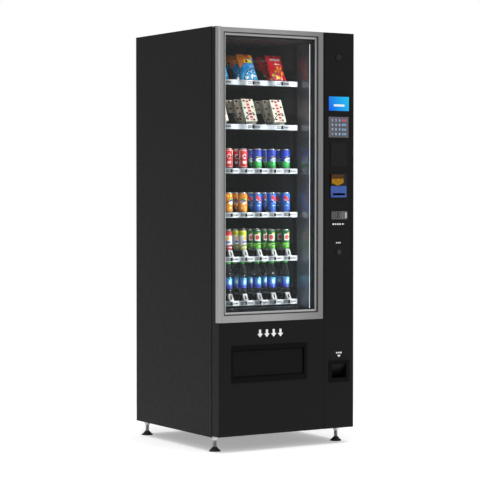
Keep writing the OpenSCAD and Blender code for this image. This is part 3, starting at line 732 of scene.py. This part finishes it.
class Shape:
    """Points, faces, label coordinates and material numbers, gathered solid by solid, in millimetres."""

    def __init__(self):
        self.points, self.faces, self.labels, self.slots = [], [], [], []

    def add(self, points, faces, labels=None, slot=0):
        base = len(self.points)
        self.points += points
        for i, face in enumerate(faces):
            self.faces.append([base + n for n in face])
            self.labels.append(labels[i] if labels else [(0.0, 0.0)] * len(face))
            self.slots.append(slot)

    def sheet(self, cols, rows, place, flip=False):
        """A grid of cols by rows cells whose corner (u, v) lies at place(u, v)."""
        wide = cols + 1
        points = [place(i / cols, j / rows) for j in range(rows + 1) for i in range(wide)]
        faces, labels = [], []
        for j in range(rows):
            for i in range(cols):
                n = j * wide + i
                face = [n, n + 1, n + 1 + wide, n + wide]
                label = [(i / cols, j / rows), ((i + 1) / cols, j / rows)]
                label += [((i + 1) / cols, (j + 1) / rows), (i / cols, (j + 1) / rows)]
                faces.append(face[::-1] if flip else face)
                labels.append(label[::-1] if flip else label)
        self.add(points, faces, labels)

    def lathe(self, profile, centre, slot, sides=28, turn=0.0, caps=(False, False), wave=None):
        """Turns (radius, height) pairs about a vertical line. Label u is half way at the front."""
        low, high = profile[0][1], profile[-1][1]
        points, faces, labels = [], [], []
        for r, z in profile:
            for i in range(sides):
                a = TURN * (i / sides - 0.5)
                rr = r + (wave(i, z) if wave else 0)
                points.append((centre[0] + rr * math.sin(a), centre[1] - rr * math.cos(a), centre[2] + z))
        for j in range(len(profile) - 1):
            v0, v1 = ((profile[k][1] - low) / (high - low) for k in (j, j + 1))
            for i in range(sides):
                k = (i + 1) % sides
                faces.append([j * sides + i, j * sides + k, (j + 1) * sides + k, (j + 1) * sides + i])
                u0, u1 = i / sides + turn, (i + 1) / sides + turn
                labels.append([(u0, v0), (u1, v0), (u1, v1), (u0, v1)])
        if caps[0]:
            faces.append(list(range(sides))[::-1])
            labels.append([(0.0, 0.0)] * sides)
        if caps[1]:
            top = (len(profile) - 1) * sides
            faces.append([top + i for i in range(sides)])
            labels.append([(0.0, 0.0)] * sides)
        self.add(points, faces, labels, slot)

    def tube(self, path, radius, sides):
        """A round bar along a list of points, with closed ends."""
        path = [Vector(p) for p in path]
        points, faces = [], []
        side = None
        for n, p in enumerate(path):
            ahead = (path[min(n + 1, len(path) - 1)] - path[max(n - 1, 0)]).normalized()
            if side is None:
                side = ahead.orthogonal().normalized()
            side = (side - ahead * side.dot(ahead)).normalized()
            up = ahead.cross(side)
            for s in range(sides):
                b = TURN * s / sides
                points.append(tuple(p + (side * math.cos(b) + up * math.sin(b)) * radius))
        for n in range(len(path) - 1):
            for s in range(sides):
                t = (s + 1) % sides
                faces.append([n * sides + s, n * sides + t, (n + 1) * sides + t, (n + 1) * sides + s])
        faces.append(list(range(sides))[::-1])
        last = (len(path) - 1) * sides
        faces.append([last + s for s in range(sides)])
        self.add(points, faces)

    def plate(self, outline, y, slot=0, front_slot=None):
        """An x, z outline, counter-clockwise from the front, made solid from y[0] back to y[1]."""
        n = len(outline)
        points = [(x, y[0], z) for x, z in outline] + [(x, y[1], z) for x, z in outline]
        xs, zs = [p[0] for p in outline], [p[1] for p in outline]
        wide, tall = max(max(xs) - min(xs), 1e-6), max(max(zs) - min(zs), 1e-6)
        label = [((x - min(xs)) / wide, (z - min(zs)) / tall) for x, z in outline]
        self.add(points, [list(range(n))], [label], slot if front_slot is None else front_slot)
        base = len(self.points) - 2 * n
        rest = [[n + i for i in range(n)][::-1]]
        rest += [[(i + 1) % n, i, n + i, n + (i + 1) % n] for i in range(n)]
        for face in rest:
            self.faces.append([base + k for k in face])
            self.labels.append([(0.0, 0.0)] * len(face))
            self.slots.append(slot)

    def block(self, x, y, z, slot=0, front_slot=None):
        self.plate([(x[0], z[0]), (x[1], z[0]), (x[1], z[1]), (x[0], z[1])], y, slot, front_slot)

    def moved(self, start, change):
        """Applies change(point) to every point added since start."""
        self.points[start:] = [change(p) for p in self.points[start:]]

    def piece(self, name, body, materials, slot, replaces=(), smooth=40, bevel=0.0, weld=False):
        mesh = bpy.data.meshes.new(name)
        mesh.from_pydata([at(*p) for p in self.points], [], self.faces)
        layer = mesh.uv_layers.new(name="label")
        layer.data.foreach_set("uv", [c for face in self.labels for corner in face for c in corner])
        mesh.polygons.foreach_set("material_index", self.slots)
        for m in materials:
            mesh.materials.append(m)
        if weld:
            work = bmesh.new()
            work.from_mesh(mesh)
            bmesh.ops.remove_doubles(work, verts=work.verts, dist=1e-6)
            bmesh.ops.recalc_face_normals(work, faces=work.faces)
            work.to_mesh(mesh)
            work.free()
        mesh.update()
        mesh.shade_smooth()
        mesh.set_sharp_from_angle(angle=math.radians(smooth))
        obj = bpy.data.objects.new(name, mesh)
        bpy.context.scene.collection.objects.link(obj)
        if bevel:
            edge = obj.modifiers.new("edge", "BEVEL")
            edge.width = bevel * MM
            edge.segments = 2
            edge.limit_method = "ANGLE"
            edge.angle_limit = math.radians(40)
        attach(obj, body)
        if replaces:
            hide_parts(*replaces)
        return obj


def round_box(x, z, r):
    """The outline of a rectangle with round corners, counter-clockwise."""
    steps = 5
    (left, right), (low, high) = (x[0] + r, x[1] - r), (z[0] + r, z[1] - r)
    outline = []
    for cx, cz, start in ((right, low, -90), (right, high, 0), (left, high, 90), (left, low, 180)):
        for k in range(steps + 1):
            a = math.radians(start + 90 * k / steps)
            outline.append((cx + r * math.cos(a), cz + r * math.sin(a)))
    return outline


def lean(degrees, base):
    """Tilts a point's top backwards about a base line, then moves it there."""
    c, s = math.cos(math.radians(degrees)), math.sin(math.radians(degrees))
    return lambda p: (base[0] + p[0], base[1] + p[1] * c + p[2] * s, base[2] - p[1] * s + p[2] * c)


# ---------- coils ----------


def coil(shape, x, z, y0, pitch, steps=26, sides=8):
    """One wire helix from top to top, with its clip and its shaft into the motor."""
    path = []
    for k in range(PER_LANE * steps + 1):
        a = math.radians(-180 + 360 * k / steps)
        path.append((x + COIL_R * math.sin(a), y0 + pitch * a / TURN, z - COIL_R * math.cos(a)))
    shape.tube(path, WIRE_R, sides)
    y1 = path[-1][1]
    shape.block((x - 4, x - 0.2), (y1 - 2, COIL_BACK - 0.2), (z + COIL_R - 2, z + COIL_R + 2))
    shape.block((x - 4, x - 0.2), (COIL_BACK - 4, COIL_BACK), (z - 5, z + COIL_R + 1.8))
    shape.tube([(x, COIL_BACK - 5, z), (x, COIL_BACK - 0.5, z)], 8.5, 20)
    shape.tube([(x, COIL_BACK - 1, z), (x, SHAFT_END, z)], SHAFT_R, 16)


def coils():
    wire = wire_look()
    for j, letter in enumerate("abc"):
        shape = Shape()
        coil(shape, lane_x(0, j), coil_z(0), BAG_Y, BAG_PITCH)
        shape.piece(f"coil_wire_{letter}", f"coil_{letter}", [wire], "coil_wire", [f"coil_{letter}"])
    shape = Shape()
    for i in range(1, TRAYS):
        for j in range(lanes(i)):
            y0, pitch = (BOX_Y, BOX_PITCH) if i == 1 else (CAN_Y, CAN_PITCH)
            coil(shape, lane_x(i, j), coil_z(i), y0, pitch, steps=18, sides=6)
    shape.piece("coil_wires_fixed", "cabinet", [wire], "coil_wire", ["coils_fixed"])


# ---------- goods ----------

BAG_W, BAG_H = 44, 138  # half the width, and the height
LEAN = 25
SEAM = 0.06  # of the bag's height, at each end
BAG_COLS = 44  # an even number, one zigzag tooth for every two columns


def bag(shape, base, seed):
    """A filled pillow bag: two sheets that meet in crimped seams top and bottom and a fold at each side."""
    rng = random.Random(seed)
    phase = [rng.uniform(0, TURN) for _ in range(5)]
    plump = rng.uniform(0.92, 1.04)
    start = len(shape.points)

    def sheet(side, depth):
        def place(u, v):
            s = 2 * u - 1
            fill = min(max((v - SEAM) / (1 - 2 * SEAM), 0), 1)
            belly = math.sin(math.pi * fill) ** 0.62
            half = BAG_W * (1 - 0.05 * math.sin(math.pi * v))
            round_off = max(1 - abs(s) ** 2.3, 0) ** 0.75
            out = depth * plump * belly * round_off * (1.1 - 0.2 * v)
            pull = math.exp(-(((v - 0.09) / 0.08) ** 2)) + math.exp(-(((v - 0.91) / 0.08) ** 2))
            out += 1.5 * pull * math.cos(s * 15 + phase[0] + side) * (1 - s * s) * min(belly * 2, 1)
            dents = math.sin(6 * s + 9 * v + phase[1]) * math.sin(4 * v - 3 * s + phase[2])
            out += 1.3 * belly * round_off * dents
            out += 0.8 * belly * round_off * math.sin(14 * s - 8 * v + phase[3])
            edge = 0 < u < 1 and 0 < v < 1
            out = max(out, 0) + (0.25 if edge else 0)
            tooth = 1.1 * (round(u * BAG_COLS) % 2) if v in (0, 1) else 0
            z = BAG_H * v + (tooth if v == 0 else -tooth)
            bow = 1.5 * math.sin(3 * v + phase[4]) * belly
            return (half * s, side * out + bow, z)

        return place

    shape.sheet(BAG_COLS, 34, sheet(-1, 13.5))
    shape.sheet(BAG_COLS, 34, sheet(1, 11), flip=True)
    shape.moved(start, lean(LEAN, base))


def bags():
    blue, red = bag_blue(), bag_red()
    for j, letter in enumerate("abc"):
        shape = Shape()
        for k in range(PER_LANE):
            bag(shape, (lane_x(0, j), BAG_Y - 7 + k * BAG_PITCH, coil_z(0) + BAG_LIFT), 10 * j + k)
        film, slot = (red, "bag_red") if letter == "c" else (blue, "bag_blue")
        shape.piece(f"snack_bags_{letter}", f"row_{letter}", [film], slot, [f"bags_{letter}"], 60, weld=True)


def cartons():
    shape = Shape()
    for j in range(3):
        for k in range(PER_LANE):
            start = len(shape.points)
            shape.block((-32, 32), (-12, 12), (5.7, 121.2), 1, 0)
            shape.block((-31.3, 31.3), (-11.5, 11.2), (121.2, 122), 1)
            base = (lane_x(1, j), BOX_Y - 8.2 + k * BOX_PITCH, coil_z(1) + BOX_LIFT)
            shape.moved(start, lean(LEAN, base))
    looks = [carton_front(), carton_side()]
    shape.piece("snack_cartons", "cabinet", looks, "box_cream", ["goods_boxes"], bevel=0.5)


# (inset from the can's radius, height)
CAN_FOOT = [(8, 2.2), (6, 0.4), (4.6, 0), (3.6, 0.8), (1.1, 3.6)]
CAN_BODY = [(1.1, 3.6), (0, 6), (0, 25), (0, 45), (0, 66), (0, 81), (0.3, 83.5), (1.2, 86), (2.4, 88)]
CAN_NECK = [(2.4, 88), (3, 89.8), (3.2, 90.6), (2.6, 91.4), (2.5, 92.4), (3, 93), (3.8, 92.4), (4.2, 90.4)]


def can(shape, x, y, z, r, print_slot, turn):
    foot, body, neck = ([(r - inset, h) for inset, h in part] for part in (CAN_FOOT, CAN_BODY, CAN_NECK))
    shape.lathe(foot, (x, y, z), slot=0, caps=(True, False))
    shape.lathe(body, (x, y, z), slot=print_slot, turn=turn)
    shape.lathe(neck, (x, y, z), slot=0, caps=(False, True))
    start = len(shape.points)
    shape.plate(round_box((-5, 5), (-9, 7), 4), (0, 0.8), 0)
    shape.moved(start, lambda p: (x + p[0], y - p[2], z + 90.9 + p[1]))


def cans():
    metal = bare_can()
    red_top, red_foot = srgb(214, 44, 48), srgb(204, 36, 44)
    lime = srgb(196, 216, 34)
    rows = {
        2: ([metal, can_red(), can_blue_green()], [1, 1, 1, 2, 2, 2]),
        3: ([metal, can_orange(), can_blue()], [1, 1, 1, 2, 2, 2]),
        4: ([metal, can_white("can_red_white", red_top, red_foot), can_white("can_lime", lime, lime),
             can_green()], [1, 1, 2, 3, 3, 3]),
    }
    for i, (looks, order) in rows.items():
        shape = Shape()
        rng = random.Random(i)
        for j, which in enumerate(order):
            for k in range(PER_LANE):
                r, lift = (CAN_R, CAN_LIFT) if i < 4 else (SLIM_R, RAMP_LIFT)
                y = CAN_Y + k * CAN_PITCH
                can(shape, lane_x(i, j), y, coil_z(i) + lift, r, which, rng.uniform(-0.05, 0.09))
        replaced = ["goods_cans"] if i == 2 else []
        shape.piece(f"drink_cans_{i + 1}", "cabinet", looks, "can_print", replaced, 50)


BOTTLE_FOOT = [(12, 3), (15, 0.5), (17.5, 0), (19.2, 1.6)]
BOTTLE_TOP = [
    (19.8, 24), (19.8, 74), (20, 77), (19.4, 80), (20, 83), (19.7, 92), (19, 97), (17.4, 104), (14.8, 112),
    (12.6, 120), (11, 127), (10.6, 134), (12.2, 136), (12.2, 137.4), (10.6, 138.4),
]
BOTTLE_CAP = [(10.8, 138.8), (11.3, 139.4), (11.3, 146.4), (10.8, 148.2), (9.6, 149)]


def bottle(shape, x, y, z):
    centre = (x, y, z)
    ribs = [(20 - 0.9 * (k % 2), 4 + 3 * k) for k in range(6)]
    shape.lathe(BOTTLE_FOOT + ribs + BOTTLE_TOP, centre, 0, 24, caps=(True, False))
    shape.lathe([(19.95, 25), (20, 25.5), (20, 72), (19.95, 72.5)], centre, 1, 24)
    grip = lambda i, h: 0.35 * (i % 2) if 140 < h < 147.5 else 0
    shape.lathe(BOTTLE_CAP, centre, 2, 40, caps=(True, True), wave=grip)


def bottles():
    shape = Shape()
    for j in range(6):
        for k in range(PER_LANE):
            bottle(shape, lane_x(5, j), CAN_Y + k * CAN_PITCH, coil_z(5) + RAMP_LIFT)
    looks = [bottle_clear(), bottle_label(), bottle_cap()]
    shape.piece("water_bottles", "cabinet", looks, "bottle_clear", ["goods_bottles"], 50)


# ---------- price tickets ----------


def tickets():
    """On each lane's stretch of rail: two outlined squares, a dark block and a row of grey bars."""
    white = moulded("ticket_white", (0.6, 0.63, 0.69), 0.6, 0.2)
    ink = moulded("ticket_ink", (0.004, 0.004, 0.005), 0.6, 0.15)
    grey = moulded("ticket_grey", (0.045, 0.045, 0.05), 0.6, 0.2)
    shape = Shape()
    y = STRIP_Y[0]
    for i in range(TRAYS):
        for j in range(lanes(i)):
            x = lane_x(i, j) - 8
            z = tray_z(i) + 6.5
            shape.block((x - 30, x + 40), (y - 0.3, y), (z - 4.5, z + 15), 0)
            for left in (x - 28, x - 17):
                shape.block((left, left + 9), (y - 0.5, y - 0.3), (z - 0.5, z + 12), 1)
                shape.block((left + 2.4, left + 6.6), (y - 0.6, y - 0.5), (z + 2.6, z + 9), 0)
            shape.block((x - 5, x + 8), (y - 0.6, y - 0.3), (z - 2.5, z + 13.5), 1)
            for n in range(4):
                left = x + 11 + n * 7
                shape.block((left, left + 4.8), (y - 0.5, y - 0.3), (z + 1 + (n % 2), z + 10.5 - (n % 2)), 2)
    shape.piece("price_tickets", "cabinet", [white, ink, grey], "strip_white")


# ---------- keypad ----------

KEY_GLYPHS = {
    "a1": "1", "a2": "2", "a3": "3", "b1": "4", "b2": "5", "b3": "6",
    "c1": "7", "c2": "8", "c3": "9", "d1": "*", "d2": "0", "d3": "#",
}

CROSS_BAR = [(-4, -3), (-3, -4), (4, 3), (3, 4)]
KEY_MARKS = {
    "a4": [CROSS_BAR, [(-px, pz) for px, pz in CROSS_BAR[::-1]]],
    "b4": [[(-5, -2.6), (5, -2.6), (0, 3.4)]],
    "c4": [[(-5, 2.6), (0, -3.4), (5, 2.6)]],
    "d4": [[(3.4 * math.cos(math.radians(a)), 3.4 * math.sin(math.radians(a))) for a in range(0, 360, 20)]],
}


def glyph(text, height):
    """The outline of a plain digit as a flat mesh: points in x and z about its middle, and faces."""
    curve = bpy.data.curves.new("digit", "FONT")
    curve.body = text
    curve.align_x = "CENTER"
    curve.size = height
    curve.extrude = 0.06
    curve.resolution_u = 3
    holder = bpy.data.objects.new("digit", curve)
    bpy.context.scene.collection.objects.link(holder)
    bpy.context.view_layer.update()
    mesh = holder.to_mesh()
    points = [tuple(v.co) for v in mesh.vertices]
    faces = [list(p.vertices) for p in mesh.polygons]
    holder.to_mesh_clear()
    bpy.data.objects.remove(holder)
    bpy.data.curves.remove(curve)
    zs = [p[1] for p in points]
    middle = (min(zs) + max(zs)) / 2
    return [(p[0], p[2], p[1] - middle) for p in points], faces


def key_look(name, low, high, power):
    """A backlit key cap, softly mottled."""
    m = Look(name)
    tone = m.blotch(260, low, high)
    return m.surface(tone, 0.3, normal=m.bump(m.noise(800), 0.00008), glow=tone, power=power)


def keys():
    blue = key_look("key_blue", srgb(104, 138, 178), srgb(132, 170, 206), 0.16)
    lilac = key_look("key_lilac", srgb(92, 92, 108), srgb(112, 112, 128), 0.05)
    lit = key_look("key_glyph", srgb(150, 206, 240), srgb(176, 222, 250), 0.5)
    red = key_look("key_red", srgb(190, 66, 88), srgb(214, 92, 108), 0.14)
    ink = moulded("key_ink", (0.02, 0.03, 0.06), 0.5)
    for row in "abcd":
        for col in "1234":
            name = row + col
            (x0, x1), (y0, y1), (z0, z1) = local(f"key_{name}")
            cx, cz = (x0 + x1) / 2, (z0 + z1) / 2
            shape = Shape()
            shape.plate(round_box((x0 + 1.5, x1 - 1.5), (z0 + 1.5, z1 - 1.5), 2), (y0, y0 + 4.5), 0)
            shape.plate(round_box((x0, x1), (z0, z1), 1), (y0 + 4.5, y1), 0)
            if name in KEY_GLYPHS:
                points, faces = glyph(KEY_GLYPHS[name], 13)
                shape.add([(cx + p[0], y0 - 0.02 - p[1] * 0.5, cz + p[2]) for p in points], faces, None, 1)
            for outline in KEY_MARKS.get(name, []):
                shape.plate([(cx + px, cz + pz) for px, pz in outline], (y0 - 0.05, y0 + 0.1), 1)
            looks = [lilac, ink, red if name == "a4" else blue] if col == "4" else [lilac, lit]
            if col == "4":
                shape.plate(round_box((x0 + 2.5, x1 - 2.5), (z0 + 4, z1 - 4), 3), (y0 - 0.03, y0 + 0.2), 2)
            shape.piece(f"key_cap_{name}", f"b_key_{name}", looks,
                        "key_red" if name == "a4" else "key_blue", [f"key_{name}"], bevel=0.35)


# ---------- small signs on the door ----------

DOWN_ARROW = [(0, -18), (15, -1), (6, -1), (6, 18), (-6, 18), (-6, -1), (-15, -1)]


def signs():
    """Plain white symbols: arrows over the delivery flap, coins and arrows by the coin controls."""
    vinyl = moulded("sign_white", (0.86, 0.86, 0.86), 0.42, grain=0.00005)
    shape = Shape()
    face = (-0.25, 0)
    for n in range(4):
        x, z = 221 + n * 37, 538
        shape.plate([(x + px, z + pz) for px, pz in DOWN_ARROW], face)
    for n in range(4):
        shape.plate(round_box((622 + n * 13, 631 + n * 13), (1031, 1039.5), 4.2), (0.75, 1))
    shape.plate([(677, 1031), (691, 1035.3), (677, 1039.5)], (0.75, 1))
    for n in range(3):
        shape.plate([(643 + n * 10, 943.5), (651 + n * 10, 947.6), (643 + n * 10, 951.7)], (0.75, 1))
    for n in range(3):
        shape.plate(round_box((643 + n * 12, 651.5 + n * 12), (425.5, 434), 4.2), face)
    shape.plate([(659.5, 409), (670, 419), (649, 419)], face)
    shape.piece("signs_white", "door", [vinyl], "panel_black")


def dress_cad():
    """New materials for the CAD nodes that stay as they are."""
    looks = {
        "cabinet_black": powder_coat("cabinet_black", srgb(23, 23, 23), 0.5, 0.15, low_shade=0.35),
        "panel_black": powder_coat("panel_black", srgb(18, 18, 18), 0.46, 0.13, 0.00006),
        "tray_black": powder_coat("tray_black", srgb(15, 15, 17), 0.45, 0.2, 0.00006),
        "foot_steel": foot_look(),
        "liner_black": liner_look(),
        "led_white": led_look(),
        "strip_white": strip_look(),
        "ramp_grey": ramp_look(),
        "motor_cream": moulded("motor_cream", (0.55, 0.55, 0.5), 0.5),
        "machine_grey": machine_look(),
        "fan_black": moulded("fan_black", (0.02, 0.02, 0.021), 0.45),
        "frame_silver": window_silver(),
        "pane_glass": pane_glass(),
        "seal_rubber": moulded("seal_rubber", (0.014, 0.014, 0.015), 0.65, 0.25, 0.0002, 300),
        "bezel_gloss": powder_coat("bezel_gloss", srgb(10, 10, 10), 0.3, 0.2, 0.00001),
        "screen_blue": screen(),
        "keypad_grey": moulded("keypad_grey", srgb(96, 96, 100), 0.42),
        "validator_black": validator_look(),
        "coin_silver": coin_look(),
        "knob_black": moulded("knob_black", (0.02, 0.02, 0.021), 0.35),
        "cup_black": moulded("cup_black", srgb(6, 6, 6), 0.45, 0.08),
        "flap_black": moulded("flap_black", srgb(12, 12, 12), 0.4, 0.1, 0.00004),
    }
    own = {
        "lock": brushed("lock_black", (0.05, 0.05, 0.052), 0.3),
        "hinge_arms": brushed("lock_steel", (0.6, 0.6, 0.61), 0.26, (1, 0.05, 1)),
        "coin_button": brushed("button_steel", (0.66, 0.67, 0.68), 0.34, (0.05, 1, 1)),
        "card_blank": powder_coat("card_black", srgb(19, 19, 19), 0.34, 0.2, 0.00001),
    }
    for part in frame["record"]["subparts"]:
        node = nodes[part["node"]]
        look = own.get(node.name) or looks.get(part["material_slot"])
        if look is None or node.hide_render:
            continue
        for s in node.material_slots:
            s.material = look


# ---------- floor, light and camera ----------

FLOOR = 30  # metres from the machine to the floor's edges


def stage():
    floor = bpy.data.meshes.new("floor")
    corners = [(-FLOOR, -FLOOR, 0), (FLOOR, -FLOOR, 0), (FLOOR, FLOOR, 0), (-FLOOR, FLOOR, 0)]
    floor.from_pydata(corners, [], [(0, 1, 2, 3)])
    m = Look("floor_pale")
    away = m.math("SQRT", m.plus(m.times(m.x, m.x), m.times(m.y, m.y)))
    far = m.span(away, 0.55, 1.6)
    tone = m.mix(far, m.mix(m.noise(2, 3), (0.86, 0.86, 0.86), (0.9, 0.9, 0.9)), (0, 0, 0))
    glow = m.mix(far, (0.35, 0.35, 0.35), (1, 1, 1))
    floor.materials.append(m.surface(tone, 0.6, gloss=0.0, glow=glow, power=1.0))
    ground = bpy.data.objects.new("floor", floor)
    bpy.context.scene.collection.objects.link(ground)
    studio()
    soft_box("overhead", (0, -0.5, 5.2), (0, 0, 0), (5, 5), 200)
    soft_box("key", (-3.4, -5.2, 3.0), (0, 0, 1.0), (2.4, 2.4), 44)
    soft_box("fill", (4.2, -3.4, 2.4), (0, 0, 1.0), (2.0, 2.4), 15)
    tall = (STRIP_Z[1] - STRIP_Z[0] + 120) * MM
    middle = (STRIP_Z[1] + STRIP_Z[0]) / 2 + 60
    soft_box("strip_right", at(STRIP_X[1] - 1, 84, middle), at(240, 330, middle), (0.02, tall), 0.65)
    for j in range(6):
        x = lane_x(2, j)
        soft_box(f"lane_{j}", at(x + 46, 122, middle), at(x - 2, 200, middle), (0.01, tall), 0.2, 52)
    view = bpy.context.scene.view_settings
    view.view_transform = "Standard"
    view.look = "None"


def studio():
    """White where nothing is in view. As a light it is bright overhead and dim at the horizon."""
    world = bpy.data.worlds.new("studio")
    world.use_nodes = True
    tree = world.node_tree
    sky = tree.nodes["Background"]
    coords = tree.nodes.new("ShaderNodeTexCoord")
    parts = tree.nodes.new("ShaderNodeSeparateXYZ")
    tree.links.new(coords.outputs["Generated"], parts.inputs[0])
    rise = tree.nodes.new("ShaderNodeMapRange")
    tree.links.new(parts.outputs[2], rise.inputs["Value"])
    for key, value in (("From Min", 0.05), ("From Max", 0.8), ("To Min", 0.22), ("To Max", 0.7)):
        rise.inputs[key].default_value = value
    path = tree.nodes.new("ShaderNodeLightPath")
    power = tree.nodes.new("ShaderNodeMath")
    power.operation = "MAXIMUM"
    tree.links.new(rise.outputs[0], power.inputs[0])
    tree.links.new(path.outputs["Is Camera Ray"], power.inputs[1])
    tree.links.new(power.outputs[0], sky.inputs[1])
    sky.inputs[0].default_value = (1, 1, 1, 1)
    bpy.context.scene.world = world


def soft_box(name, place, aim, size, power, spread=180):
    """An area light at place, facing aim and unseen by the camera. Its spread is in degrees."""
    lamp = bpy.data.lights.new(name, "AREA")
    lamp.shape = "RECTANGLE"
    lamp.size, lamp.size_y = size
    lamp.energy = power
    lamp.spread = math.radians(spread)
    obj = bpy.data.objects.new(name, lamp)
    obj.location = place
    obj.rotation_euler = (Vector(aim) - Vector(place)).to_track_quat("-Z", "Y").to_euler()
    obj.visible_camera = False
    bpy.context.scene.collection.objects.link(obj)


def camera():
    data = bpy.data.cameras.new("camera")
    data.lens = 134
    data.sensor_width = 36
    obj = bpy.data.objects.new("camera", data)
    obj.location = (-4.497, -7.306, 1.195)
    obj.rotation_euler = (math.radians(90 - 1.6), 0, -math.radians(31.5))
    bpy.context.scene.collection.objects.link(obj)
    bpy.context.scene.camera = obj


camera()
stage()
coils()
bags()
cartons()
cans()
bottles()
tickets()
keys()
signs()
dress_cad()
